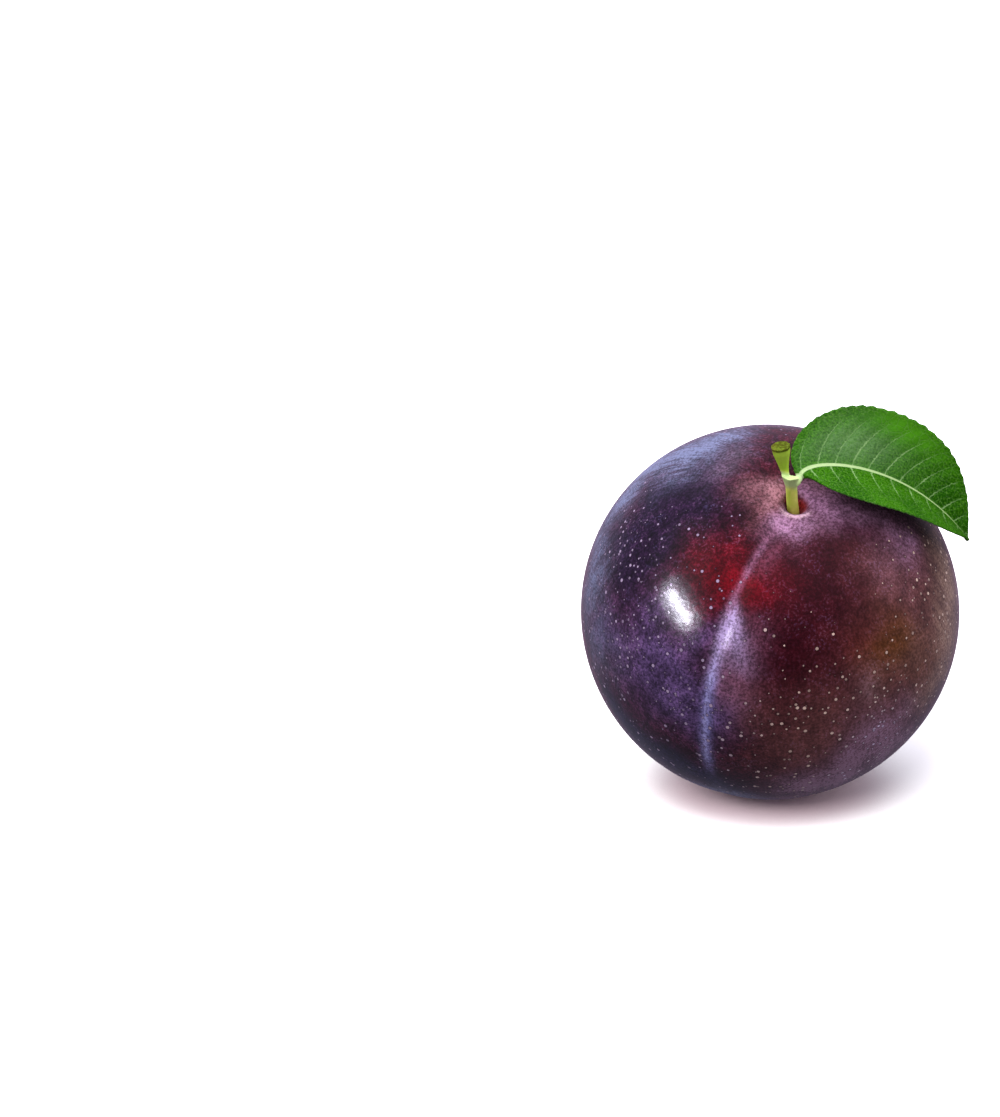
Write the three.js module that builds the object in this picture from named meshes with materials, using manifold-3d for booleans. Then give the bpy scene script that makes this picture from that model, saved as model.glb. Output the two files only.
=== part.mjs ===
// A ripe round plum, as picked: the fruit, its stalk, and one leaf on the stalk.
// It rests on a small flat spot with its stalk end tilted forward, and the leaf arches over its right shoulder.
// Millimetres, +Z up, front towards -Y. The origin is on the resting plane, straight below the fruit's middle.
import * as THREE from "three";
import { mergeVertices } from "three/addons/utils/BufferGeometryUtils.js";
import Module from "manifold-3d";

const DEG = Math.PI / 180;
const MATING_GAP = 0.3; // left between pieces that touch

// ---- Fruit ----
const FRUIT_RADIUS = 30; // from the middle to the skin, across the shoulders
const POLE_RADIUS = 29.7; // from the middle towards either end, before the hollows there
const MIDDLE_HEIGHT = 29.4; // of the fruit's middle above the resting plane, which cuts the flat spot
const AXIS_TILT = 36 * DEG; // of the stalk end, from upright towards the front
const AXIS_HEADING = 14.5 * DEG; // of that tilt, from the front towards the right
const SUTURE_SPIN = -123.5 * DEG; // of the suture line round the fruit's axis
const SUTURE_SIDE = 80 * DEG; // angle from the stalk end at which the suture has exactly that spin
const SUTURE_DRIFT = 0.195; // radians the suture turns for each radian away from there
const SUTURE_BEND = 0.05; // and how far that drift itself bends

const CREASE = { depth: 0.4, halfWidth: 1.6 }; // the fine line of the suture
const VALLEY = { depth: 0.6, halfWidth: 6.5 }; // the shallow dip that it runs in
const SUTURE_FADE = 65 * DEG; // from the stalk end, over which both grow shallow,
const SUTURE_LEFT = 0.16; // to this share of their depth
const HOLLOW = { depth: 1.7, halfWidth: 7, power: 2 }; // the wide hollow round the stalk
const PIT = { depth: 3, halfWidth: 1.75, power: 3.5 }; // the narrow pit in its middle
const HOLLOW_PULL = 0.3; // how much further the hollow reaches along the suture
const TIP_DIP = { depth: 0.7, halfWidth: 3.2, power: 2 }; // at the blossom end
const TIP_SCAR = { depth: -0.35, halfWidth: 0.8, power: 2 }; // the style's dry point, raised
const UNEVEN = 0.1; // how far the round form wanders

const FRUIT_RINGS = 44;
const FRUIT_COLUMNS = 60;
const POLE_CROWDING = 0.8; // rings crowd towards both ends,
const SUTURE_CROWDING = 0.7; // and columns towards the suture

// ---- Stalk ----
// Lines are lists of points measured from the fruit's middle, in the part's own directions.
// Radii are spread evenly along a line, from its first point to its last.
const ROOT_DEPTH = 1.6; // how far the stalk is rooted below the pit's floor
const ROOT_RADIUS = 0.95;
const STALK_LINE = [
  [3.5, -16.1, 23.2],
  [3.35, -18, 26.2],
  [3.3, -19.5, 28.4],
];
const STALK_RADII = [ROOT_RADIUS, ROOT_RADIUS, 0.88, 0.86, 0.86, 0.88, 1.15, 1.5];
const COLLAR_TOP = [3.3, -18.9, 27.6]; // where the flared end of the stalk is cut off,
const COLLAR_FACE = [0.2, 0.15, 0.97]; // and which way that end faces
const STUB_LINE = [
  [2.78, -18.4, 26.9],
  [2.35, -18.95, 28.7],
  [2.05, -19.5, 30.5],
  [1.75, -20.1, 32.7],
];
const STUB_RADII = [0.5, 0.55, 0.72, 0.98, 1.3, 1.46];
const SPUR_LINE = [
  [3.3, -18.3, 26.5],
  [3.9, -18.1, 26.5],
  [4.35, -17.6, 26.6],
];
const SPUR_RADII = [0.85, 0.8, 0.66];
const SIDES = 14;

// ---- Leaf ----
// The midrib is one cubic curve along the blade's upper face, from its base to its tip.
const MIDRIB = [
  [4.75, -16.05, 27.05],
  [6.25, -13.65, 29.5],
  [22.1, -6, 26.4],
  [31.1, -2.6, 12.6],
];
const PETIOLE_LINE = [
  [4.42, -17.25, 26.63],
  [4.6, -15.7, 26.76],
  [5.33, -14.4, 27.95],
];
const PETIOLE_RADII = [0.62, 0.52, 0.3];
const BLADE_HALF_WIDTH = 10.2;
const BLADE_WIDEST = 0.4; // share of the midrib's length where the blade is widest
const BASE_ROUNDNESS = 1.77; // 1 is a parabola and 2 an ellipse
const TIP_FULLNESS = 2.9;
const TIP_SHARPNESS = 1.3;
const BLADE_THICKNESS = 0.6;
const BLADE_ROLL = [-40.5 * DEG, -49 * DEG]; // of the blade's plane about the midrib, at base and tip
const BLADE_FOLD = [12.5 * DEG, 28 * DEG]; // of each half up from that plane
const CURL_RADIUS = 55; // of the blade's upward curl
const RIB_ABOVE = 0.2; // how far the midrib stands out of the upper face at its base,
const RIB_BELOW = 0.6; // and out of the lower face,
const RIB_TAPER = 0.8; // and the share of both that is lost by the tip
// Side veins of each half: where along the midrib the first starts, their pitch, how far forward they run for
// each step out at the midrib (slant), and how much further at the margin (curve).
const BACK_VEINS = { first: 3.6, pitch: 3, slant: 0.42, curve: 0.32 };
const FRONT_VEINS = { first: 5.8, pitch: 3.7, slant: 0.05, curve: 0.2 };
const PUCKER = 0.22; // how far the blade swells between veins
const TEETH = 32; // along each margin
const TOOTH_DEPTH = 0.32;
const TOOTH_LEAN = 0.62; // share of a tooth's length before its point
const TEETH_CROWDING = 0.4; // teeth crowd towards base and tip
const BASE_HALF_WIDTH = 1.2; // the least that the blade has towards its base,
const TIP_HALF_WIDTH = 0.35; // and towards its tip
const BLADE_COLUMNS = [0, 0.07, 0.3, 0.55, 0.8, 1]; // across each half, as shares of its width

const wasm = await Module();
wasm.setup();

// ---- Solids ----

const vector = (point) => new THREE.Vector3(...point);

const middleOf = (points) =>
  points.reduce((sum, p) => sum.add(p), new THREE.Vector3()).divideScalar(points.length);

// Joins rings of equally many points into one closed body, with a fan to each end's own point.
// turned(j) says which strips are split along their other diagonal.
function bodyFromRings(rings, firstPoint, lastPoint, turned = () => false) {
  const around = rings[0].length;
  const positions = [firstPoint, ...rings.flat(), lastPoint].flatMap((p) => [p.x, p.y, p.z]);
  const at = (ring, j) => 1 + ring * around + (j % around);
  const last = 1 + rings.length * around;
  const index = [];
  for (let j = 0; j < around; j++) {
    index.push(0, at(0, j + 1), at(0, j));
    index.push(last, at(rings.length - 1, j), at(rings.length - 1, j + 1));
  }
  for (let i = 0; i + 1 < rings.length; i++) {
    for (let j = 0; j < around; j++) {
      const [a, b, c, d] = [at(i, j), at(i, j + 1), at(i + 1, j + 1), at(i + 1, j)];
      index.push(...(turned(j) ? [a, b, d, b, c, d] : [a, b, c, a, c, d]));
    }
  }
  const geometry = new THREE.BufferGeometry();
  geometry.setAttribute("position", new THREE.Float32BufferAttribute(positions, 3));
  geometry.setIndex(index);
  return geometry;
}

// A round bar along a smooth line through points.
function bar(points, radii, rings) {
  const curve = new THREE.CatmullRomCurve3(points.map(vector));
  const { normals, binormals } = curve.computeFrenetFrames(rings, false);
  const made = [];
  for (let i = 0; i <= rings; i++) {
    const centre = curve.getPointAt(i / rings);
    const place = (i / rings) * (radii.length - 1);
    const before = Math.min(Math.floor(place), radii.length - 2);
    const radius = THREE.MathUtils.lerp(radii[before], radii[before + 1], place - before);
    made.push(
      Array.from({ length: SIDES }, (_, j) => {
        const angle = (2 * Math.PI * j) / SIDES;
        return centre
          .clone()
          .addScaledVector(normals[i], radius * Math.cos(angle))
          .addScaledVector(binormals[i], radius * Math.sin(angle));
      }),
    );
  }
  return bodyFromRings(made, middleOf(made[0]), middleOf(made[rings]));
}

// All that lies past a plane through point, on the side that direction points to.
function spacePast(point, direction) {
  const box = new THREE.BoxGeometry(4 * FRUIT_RADIUS, 4 * FRUIT_RADIUS, FRUIT_RADIUS);
  box.translate(0, 0, FRUIT_RADIUS / 2);
  const upright = new THREE.Vector3(0, 0, 1);
  box.applyQuaternion(new THREE.Quaternion().setFromUnitVectors(upright, vector(direction).normalize()));
  return box.translate(...point);
}

function solidOf(geometry) {
  const bare = geometry.clone();
  bare.deleteAttribute("normal");
  bare.deleteAttribute("uv");
  const merged = mergeVertices(bare, 1e-4);
  return new wasm.Manifold(
    new wasm.Mesh({
      numProp: 3,
      vertProperties: merged.attributes.position.array,
      triVerts: new Uint32Array(merged.index.array),
    }),
  );
}

function geometryOf(solid) {
  const { vertProperties, triVerts } = solid.getMesh();
  const geometry = new THREE.BufferGeometry();
  geometry.setAttribute("position", new THREE.BufferAttribute(vertProperties, 3));
  geometry.setIndex(new THREE.BufferAttribute(triVerts, 1));
  geometry.computeVertexNormals();
  return geometry;
}

// ---- Fruit ----

// Turns the fruit's own frame, stalk end along +Z and suture along +X, into the part's directions.
const fruitTurn = new THREE.Matrix4()
  .makeRotationZ(AXIS_HEADING)
  .multiply(new THREE.Matrix4().makeRotationX(AXIS_TILT))
  .multiply(new THREE.Matrix4().makeRotationZ(SUTURE_SPIN));
const fruitAxis = new THREE.Vector3(0, 0, 1).transformDirection(fruitTurn);
const onAxis = (distance) => fruitAxis.clone().multiplyScalar(distance).toArray();
const pitFloor = POLE_RADIUS - HOLLOW.depth - PIT.depth;

const dip = ({ depth, halfWidth, power }, distance) => depth * Math.exp(-((distance / halfWidth) ** power));

function sutureSpin(polar) {
  const past = polar - SUTURE_SIDE;
  return SUTURE_DRIFT * past + SUTURE_BEND * past * past;
}

function sutureDepth(polar, turn) {
  const across = FRUIT_RADIUS * Math.sin(polar) * Math.abs(turn);
  const openEnds = THREE.MathUtils.smoothstep(Math.sin(polar), 0.04, 0.2);
  const share = SUTURE_LEFT + (1 - SUTURE_LEFT) * Math.exp(-((polar / SUTURE_FADE) ** 2));
  return openEnds * share * (dip({ ...CREASE, power: 2 }, across) + dip({ ...VALLEY, power: 2 }, across));
}

// Distance of the skin from the fruit's middle. polar is measured from the stalk end and turn from the suture.
function skinRadius(polar, turn) {
  const round = 1 / Math.hypot(Math.sin(polar) / FRUIT_RADIUS, Math.cos(polar) / POLE_RADIUS);
  const wander = Math.sin(3 * turn + 1) + Math.cos(2 * turn - 2 * polar);
  const pull = 1 + HOLLOW_PULL * Math.max(0, Math.cos(turn)) ** 3;
  const fromStalk = FRUIT_RADIUS * polar;
  const fromTip = FRUIT_RADIUS * (Math.PI - polar);
  return (
    round +
    UNEVEN * Math.sin(polar) ** 2 * wander -
    sutureDepth(polar, turn) -
    dip(HOLLOW, fromStalk / pull) -
    dip(PIT, fromStalk) -
    dip(TIP_DIP, fromTip) -
    dip(TIP_SCAR, fromTip)
  );
}

function skinPoint(polar, turn) {
  const spin = turn + sutureSpin(polar);
  const flat = Math.sin(polar);
  return new THREE.Vector3(flat * Math.cos(spin), flat * Math.sin(spin), Math.cos(polar)).multiplyScalar(
    skinRadius(polar, turn),
  );
}

// A share from 0 to 1, with steps crowded towards both ends.
const crowded = (share, crowding) => share - (crowding * Math.sin(2 * Math.PI * share)) / (2 * Math.PI);

function fruitGeometry() {
  const rings = [];
  for (let i = FRUIT_RINGS - 1; i > 0; i--) {
    const polar = Math.PI * crowded(i / FRUIT_RINGS, POLE_CROWDING);
    rings.push(
      Array.from({ length: FRUIT_COLUMNS }, (_, j) => {
        const share = crowded(j / FRUIT_COLUMNS, SUTURE_CROWDING);
        return skinPoint(polar, 2 * Math.PI * (share > 0.5 ? share - 1 : share));
      }),
    );
  }
  const whole = bodyFromRings(rings, skinPoint(Math.PI, 0), skinPoint(0, 0));
  whole.applyMatrix4(fruitTurn);

  const below = spacePast([0, 0, -MIDDLE_HEIGHT], [0, 0, -1]);
  const socketRadius = ROOT_RADIUS + MATING_GAP;
  const socketLength = 2 * (ROOT_DEPTH + MATING_GAP);
  const socket = new THREE.CylinderGeometry(socketRadius, socketRadius, socketLength, 2 * SIDES);
  socket.applyQuaternion(new THREE.Quaternion().setFromUnitVectors(new THREE.Vector3(0, 1, 0), fruitAxis));
  socket.translate(...onAxis(pitFloor));

  return geometryOf(solidOf(whole).subtract(solidOf(below)).subtract(solidOf(socket)));
}

// ---- Stalk ----

// The old shoot: a rooted stalk that flares to a collar, the stub above it and the leaf's spur beside it.
function stalkGeometry() {
  const line = [onAxis(pitFloor - ROOT_DEPTH), onAxis(pitFloor), ...STALK_LINE];
  const flared = solidOf(bar(line, STALK_RADII, 14));
  const collared = flared.subtract(solidOf(spacePast(COLLAR_TOP, COLLAR_FACE)));
  const stub = solidOf(bar(STUB_LINE, STUB_RADII, 10));
  const spur = solidOf(bar(SPUR_LINE, SPUR_RADII, 4));
  return geometryOf(collared.add(stub).add(spur));
}

// ---- Leaf ----

const midrib = new THREE.CubicBezierCurve3(...MIDRIB.map(vector));
const midribLength = midrib.getLength();

// The blade's directions at a share of the midrib's length: up from it, and across it to the back.
function bladeFrame(share) {
  const along = midrib.getTangentAt(share);
  const up = new THREE.Vector3(0, 0, 1).projectOnPlane(along).normalize();
  up.applyAxisAngle(along, -THREE.MathUtils.lerp(...BLADE_ROLL, share));
  return { origin: midrib.getPointAt(share), up, across: new THREE.Vector3().crossVectors(up, along) };
}

function bladeHalfWidth(share) {
  if (share < BLADE_WIDEST) {
    return BLADE_HALF_WIDTH * (1 - (1 - share / BLADE_WIDEST) ** 2) ** (1 / BASE_ROUNDNESS);
  }
  const past = (share - BLADE_WIDEST) / (1 - BLADE_WIDEST);
  return BLADE_HALF_WIDTH * (1 - past ** TIP_FULLNESS) ** TIP_SHARPNESS;
}

// How far the blade swells at a distance out from the midrib, nothing on a vein and most between two.
function swelling({ first, pitch, slant, curve }, share, column, out) {
  const forward = out * (slant + (curve * out) / BLADE_HALF_WIDTH);
  const veinPhase = (share * midribLength - forward - first) / pitch;
  return 4 * PUCKER * column * (1 - column) * Math.sin(Math.PI * veinPhase) ** 2;
}

// One section round the blade: its upper face from back margin to front, then its lower face to the back again.
function bladeRing(share, toothHeight) {
  const { origin, up, across } = bladeFrame(share);
  const least = share < BLADE_WIDEST ? BASE_HALF_WIDTH : TIP_HALF_WIDTH;
  const width = Math.max(least, bladeHalfWidth(share)) + toothHeight;
  const fold = THREE.MathUtils.lerp(...BLADE_FOLD, share);
  const rib = 1 - RIB_TAPER * share;
  const point = (half, column, onUpperFace) => {
    const out = column * width;
    const slope = fold + out / CURL_RADIUS;
    const side = half * CURL_RADIUS * (Math.sin(slope) - Math.sin(fold));
    const veins = half > 0 ? BACK_VEINS : FRONT_VEINS;
    const lift = CURL_RADIUS * (Math.cos(fold) - Math.cos(slope)) + swelling(veins, share, column, out);
    const onRib = column === 0;
    const above = onRib ? rib * RIB_ABOVE : 0;
    const below = BLADE_THICKNESS + (onRib ? rib * RIB_BELOW : 0);
    const offset = onUpperFace ? above : -below;
    const lean = onRib ? 0 : slope;
    return origin
      .clone()
      .addScaledVector(across, side - half * offset * Math.sin(lean))
      .addScaledVector(up, lift + offset * Math.cos(lean));
  };
  const backHalf = BLADE_COLUMNS.slice(1).reverse();
  const places = [...backHalf.map((c) => [1, c]), ...BLADE_COLUMNS.map((c) => [-1, c])];
  return [
    ...places.map(([half, column]) => point(half, column, true)),
    ...places.reverse().map(([half, column]) => point(half, column, false)),
  ];
}

function leafGeometry() {
  const rings = [];
  for (let i = 0; i < TEETH; i++) {
    for (const [phase, height] of [[0, 0], [TOOTH_LEAN, TOOTH_DEPTH]]) {
      const share = crowded((i + phase) / TEETH, TEETH_CROWDING);
      rings.push(bladeRing(share, height * Math.sqrt(Math.sin(Math.PI * share))));
    }
  }
  rings.push(bladeRing(1, 0));
  const onTop = rings[0].length / 2;
  const blade = bodyFromRings(rings, middleOf(rings[0]), middleOf(rings.at(-1)), (j) => j >= onTop);
  const petiole = bar(PETIOLE_LINE, PETIOLE_RADII, 6);
  return geometryOf(solidOf(blade).add(solidOf(petiole)));
}

// ---- The plum ----

function mesh(name, geometry, color, roughness) {
  const made = new THREE.Mesh(geometry, new THREE.MeshStandardMaterial({ color, roughness, metalness: 0 }));
  made.name = name;
  return made;
}

const plum = new THREE.Group();
plum.position.z = MIDDLE_HEIGHT;
plum.add(mesh("fruit", fruitGeometry(), 0x3c1a2c, 0.35));
plum.add(mesh("stalk", stalkGeometry(), 0x9aa838, 0.6));
plum.add(mesh("leaf", leafGeometry(), 0x3a8a22, 0.5));

export default plum;
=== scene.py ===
"""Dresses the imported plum: waxy skin with bloom, a green forked stalk and a veined leaf, on a white floor.

Shapes are worked out in millimetres from the fruit's middle, by the same rules as the solids, only finer.
"""

import math

import bpy
import numpy as np
from mathutils import Matrix, Vector


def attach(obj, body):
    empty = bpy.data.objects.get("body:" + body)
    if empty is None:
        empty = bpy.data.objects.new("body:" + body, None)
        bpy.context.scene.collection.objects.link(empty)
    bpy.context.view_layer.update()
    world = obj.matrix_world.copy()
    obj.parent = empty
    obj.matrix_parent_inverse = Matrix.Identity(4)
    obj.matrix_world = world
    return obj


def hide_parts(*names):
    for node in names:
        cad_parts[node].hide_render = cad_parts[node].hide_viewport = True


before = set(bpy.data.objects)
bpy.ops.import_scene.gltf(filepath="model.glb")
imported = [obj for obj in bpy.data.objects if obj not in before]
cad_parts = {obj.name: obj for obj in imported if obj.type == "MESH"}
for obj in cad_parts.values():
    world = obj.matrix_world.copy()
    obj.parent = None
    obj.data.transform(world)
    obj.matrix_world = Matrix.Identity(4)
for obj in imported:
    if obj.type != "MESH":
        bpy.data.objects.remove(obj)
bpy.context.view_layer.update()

MM = 0.001
DEG = math.pi / 180
UP = np.array([0.0, 0.0, 1.0])

# ---- The photograph's camera ----
IMAGE_WIDTH, IMAGE_HEIGHT = 1000, 1117  # pixels
FOCAL_LENGTH = 100.0
SENSOR = 36.0  # along the picture's long side
CAMERA_ELEVATION = 18 * DEG
CAMERA_DISTANCE = 496.0  # from the fruit's middle
MIDDLE_PIXEL = (769.0, 612.0)  # where the fruit's middle is in the picture

# ---- Fruit, as in the solids ----
FRUIT_RADIUS = 30.0
POLE_RADIUS = 29.7
MIDDLE_HEIGHT = 29.4
AXIS_TILT = 36 * DEG
AXIS_HEADING = 14.5 * DEG
SUTURE_SPIN = -123.5 * DEG
SUTURE_SIDE = 80 * DEG
SUTURE_DRIFT = 0.195
SUTURE_BEND = 0.05
CREASE = (0.4, 1.6)  # depth and half width
VALLEY = (0.6, 6.5)
SUTURE_FADE = 65 * DEG
SUTURE_LEFT = 0.16
SUTURE_ENDS = (0.04, 0.2)  # sines of the polar angles over which it fades out at both ends
HOLLOW = (1.7, 7.0)
PIT = (3.0, 1.75, 3.5)  # depth, half width and power
HOLLOW_PULL = 0.3
TIP_DIP = (0.7, 3.2)
TIP_SCAR = (-0.35, 0.8)
UNEVEN = 0.1
PIT_FLOOR = POLE_RADIUS - HOLLOW[0] - PIT[0]
SKIN_INSET = 0.07  # keeps the finer skin inside the solid's
SKIN_RINGS = 250
SKIN_COLUMNS = 370
POLE_CROWDING = 0.75
SUTURE_CROWDING = 0.55

# ---- Stalk, as in the solids ----
ROOT_SUNK = 0.8  # how far the stalk goes below the pit's floor
STALK_LINE = [(3.5, -16.1, 23.2), (3.35, -18.0, 26.2), (3.3, -19.5, 28.4)]
STALK_RADII = [0.95, 0.93, 0.88, 0.86, 0.86, 0.88, 1.15, 1.5]
COLLAR_TOP = (3.3, -18.9, 27.6)
COLLAR_FACE = (0.2, 0.15, 0.97)
STUB_LINE = [(2.78, -18.4, 26.9), (2.35, -18.95, 28.7), (2.05, -19.5, 30.5), (1.75, -20.1, 32.7)]
STUB_RADII = [0.5, 0.55, 0.72, 0.98, 1.3, 1.46]
SPUR_LINE = [(3.3, -18.3, 26.5), (3.9, -18.1, 26.5), (4.35, -17.6, 26.6)]
SPUR_RADII = [0.85, 0.8, 0.66]
# A darker stripe painted down the lower stalk as shade between its lit edges
SHADE_STRIPE = (3.05, 0.3)  # across the stalk, and half width
STALK_SIDES = 48
STALK_RIDGES = 7
STALK_VOXEL = 0.09

# ---- Leaf, as in the solids but thinner, with finer teeth and veins ----
MIDRIB = [(4.75, -16.05, 27.05), (6.25, -13.65, 29.5), (22.1, -6.0, 26.4), (31.1, -2.6, 12.6)]
PETIOLE_LINE = [(4.1, -17.8, 26.6), (4.42, -17.25, 26.63), (4.6, -15.9, 26.7)]
PETIOLE_RADIUS = 0.58
BLADE_HALF_WIDTH = 10.2
BLADE_WIDEST = 0.4
BASE_ROUNDNESS = 1.77
TIP_FULLNESS = 2.9
TIP_SHARPNESS = 1.3
BASE_HALF_WIDTH = 1.2
TIP_HALF_WIDTH = 0.2
BLADE_ROLL = (-40.5 * DEG, -49 * DEG)
BLADE_FOLD = (12.5 * DEG, 28 * DEG)
CURL_RADIUS = 55.0
BLADE_THICKNESS = 0.34  # at the midrib
MARGIN_THICKNESS = 0.16
RIB_ABOVE = 0.2
RIB_BELOW = 0.8
RIB_TAPER = 0.8
RIB_HALF_WIDTH = 0.42
VEIN_ABOVE = -0.03
VEIN_BELOW = 0.09
VEIN_HALF_WIDTH = 0.14
PUCKER = 0.15
TEETH = 32
TOOTH_DEPTH = 0.24
TOOTH_LEAN = 0.62
TEETH_CROWDING = 0.4
STEPS_IN_TOOTH = 8
BLADE_COLUMNS = 30  # across each half
PETIOLE_RINGS = 12
# Side veins of the back and the front half: first, pitch, slant at the midrib and curve towards the margin
VEINS = {1: (3.6, 3.0, 0.42, 0.32), -1: (5.8, 3.7, -0.12, 0.3)}


def part_way(pair, share):
    return pair[0] + (pair[1] - pair[0]) * share


def unit(vectors):
    vectors = np.asarray(vectors, float)
    return vectors / np.linalg.norm(vectors, axis=-1, keepdims=True)


def smooth(x, low, high):
    share = np.clip((x - low) / (high - low), 0, 1)
    return share * share * (3 - 2 * share)


def crowded(share, crowding):
    return share - crowding * np.sin(2 * np.pi * share) / (2 * np.pi)


def bell(x, middle, half_width):
    return np.exp(-(((x - middle) / half_width) ** 2))


def between(x, low, high, soft):
    return smooth(x, low - soft, low + soft) * (1 - smooth(x, high - soft, high + soft))


def between_colours(a, b, share):
    return np.array(a) * (1 - share[:, None]) + np.array(b) * share[:, None]


def add_object(name, data):
    made = bpy.data.objects.new(name, data)
    bpy.context.scene.collection.objects.link(made)
    return made


# ---- Camera ----


def camera_axes():
    """A level view's right, up and back, and the same turned to put the fruit off the picture's middle."""
    sin, cos = math.sin(CAMERA_ELEVATION), math.cos(CAMERA_ELEVATION)
    level = Matrix(((1, 0, 0), (0, sin, -cos), (0, cos, sin)))
    focal = FOCAL_LENGTH / SENSOR * IMAGE_HEIGHT
    right = MIDDLE_PIXEL[0] - IMAGE_WIDTH / 2
    down = MIDDLE_PIXEL[1] - IMAGE_HEIGHT / 2
    turn = Matrix.Rotation(math.atan2(right, focal), 3, "Y")
    nod = Matrix.Rotation(math.atan2(down, math.hypot(focal, right)), 3, "X")
    return level, level @ turn @ nod


def camera_place(level):
    """From the fruit's middle, in millimetres."""
    return level @ Vector((0, 0, CAMERA_DISTANCE))


def make_camera():
    level, axes = camera_axes()
    data = bpy.data.cameras.new("camera")
    data.lens = FOCAL_LENGTH
    data.sensor_width = SENSOR
    data.clip_start = 0.01
    data.clip_end = 50
    camera = add_object("camera", data)
    place = (camera_place(level) + Vector((0, 0, MIDDLE_HEIGHT))) * MM
    camera.matrix_world = Matrix.Translation(place) @ axes.to_4x4()
    bpy.context.scene.camera = camera


# ---- Meshes ----


def make_mesh(name, points, faces):
    mesh = bpy.data.meshes.new(name)
    mesh.from_pydata((points + MIDDLE_HEIGHT * UP) * MM, [], faces)
    mesh.polygons.foreach_set("use_smooth", [True] * len(mesh.polygons))
    return add_object(name, mesh)


def ring_faces(rings, around, first, last):
    """Quads between rings of points numbered from 0, with a fan to the point first and another to last."""
    ring, place = np.meshgrid(np.arange(rings - 1), np.arange(around), indexing="ij")
    after = (place + 1) % around
    here, there = ring * around, (ring + 1) * around
    quads = np.stack([here + place, here + after, there + after, there + place], -1).reshape(-1, 4).tolist()
    top = (rings - 1) * around
    start = [(first, (j + 1) % around, j) for j in range(around)]
    end = [(last, top + j, top + (j + 1) % around) for j in range(around)]
    return start + quads + end


def set_values(piece, name, values):
    """Keeps a number, or a vector, for each point of a piece, for its material to read."""
    values = np.asarray(values, np.float32)
    kind, key = ("FLOAT", "value") if values.ndim == 1 else ("FLOAT_VECTOR", "vector")
    layer = piece.data.attributes.new(name, kind, "POINT")
    layer.data.foreach_set(key, values.ravel())


def points_of(piece):
    """The places of a piece's points from the fruit's middle, in millimetres."""
    points = np.empty(len(piece.data.vertices) * 3, np.float32)
    piece.data.vertices.foreach_get("co", points)
    return points.reshape(-1, 3) / MM - MIDDLE_HEIGHT * UP


def dress(piece, node, material):
    piece.data.materials.append(material)
    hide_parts(node)
    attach(piece, "root")


# ---- Materials ----

NOISE_BAND = (0.3, 0.7)  # where the values of a noise mostly lie
# Gloss of the stalk and the leaf
GREEN_GLOSS = {"Specular_IOR_Level": 0.0, "Coat_Weight": 0.012, "Coat_IOR": 2.2, "Coat_Roughness": 0.4}


def set_span(node, *limits):
    for key, number in zip(("From Min", "From Max", "To Min", "To Max"), limits):
        node.inputs[key].default_value = number


class Shader:
    """A material's nodes, by short calls. An input may be a number, a colour or another node's output."""

    def __init__(self, name):
        self.material = bpy.data.materials.new(name)
        self.material.use_nodes = True
        self.tree = self.material.node_tree
        self.surface = self.tree.nodes["Principled BSDF"]

    def put(self, socket, value):
        if isinstance(value, bpy.types.NodeSocket):
            self.tree.links.new(value, socket)
        elif isinstance(value, tuple) and len(value) == 3 and socket.type == "RGBA":
            socket.default_value = (*value, 1)
        else:
            socket.default_value = value

    def node(self, kind, settings=(), **inputs):
        made = self.tree.nodes.new(kind)
        for key, value in dict(settings).items():
            setattr(made, key, value)
        for key, value in inputs.items():
            self.put(made.inputs[key.replace("_", " ")], value)
        return made

    def stored(self, name, output="Fac"):
        return self.node("ShaderNodeAttribute", {"attribute_name": name}).outputs[output]

    def place(self):
        return self.node("ShaderNodeTexCoord").outputs["Object"]

    def noise(self, vector, scale, detail=2.0, roughness=0.5):
        inputs = {"Vector": vector, "Scale": scale, "Detail": detail, "Roughness": roughness}
        return self.node("ShaderNodeTexNoise", **inputs).outputs["Fac"]

    def math(self, operation, a, b):
        made = self.node("ShaderNodeMath", {"operation": operation})
        self.put(made.inputs[0], a)
        self.put(made.inputs[1], b)
        return made.outputs[0]

    def times(self, first, *others):
        for other in others:
            first = self.math("MULTIPLY", first, other)
        return first

    def plus(self, first, *others):
        for other in others:
            first = self.math("ADD", first, other)
        return first

    def span(self, value, low, high, at_low=0.0, at_high=1.0):
        """Runs smoothly from at_low to at_high as value goes from low to high."""
        made = self.node("ShaderNodeMapRange", {"interpolation_type": "SMOOTHSTEP"}, Value=value)
        set_span(made, low, high, at_low, at_high)
        return made.outputs["Result"]

    def mix(self, factor, a, b):
        made = self.node("ShaderNodeMix", {"data_type": "RGBA", "clamp_factor": True})
        self.put(made.inputs["Factor"], factor)
        self.put(made.inputs["A"], a)
        self.put(made.inputs["B"], b)
        return made.outputs["Result"]

    def scaled(self, vector, factor):
        made = self.node("ShaderNodeVectorMath", {"operation": "SCALE"}, Scale=factor)
        self.put(made.inputs[0], vector)
        return made.outputs[0]

    def bump(self, height, strength, distance):
        made = self.node("ShaderNodeBump", Height=height, Strength=strength, Distance=distance)
        return made.outputs["Normal"]

    def finish(self, **inputs):
        for key, value in inputs.items():
            self.put(self.surface.inputs[key.replace("_", " ")], value)
        return self.material


# ---- Fruit ----


def fruit_turn():
    """Turns the fruit's own frame, stalk end along +Z and suture along +X, into the part's directions."""
    heading = Matrix.Rotation(AXIS_HEADING, 3, "Z")
    tilt = Matrix.Rotation(AXIS_TILT, 3, "X")
    return np.array(heading @ tilt @ Matrix.Rotation(SUTURE_SPIN, 3, "Z"))


def on_axis(distance):
    return fruit_turn() @ (distance * UP)


def dip(shape, distance):
    depth, half_width, power = (*shape, 2.0)[:3]
    return depth * np.exp(-((distance / half_width) ** power))


def suture_spin(polar):
    past = polar - SUTURE_SIDE
    return SUTURE_DRIFT * past + SUTURE_BEND * past * past


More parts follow.
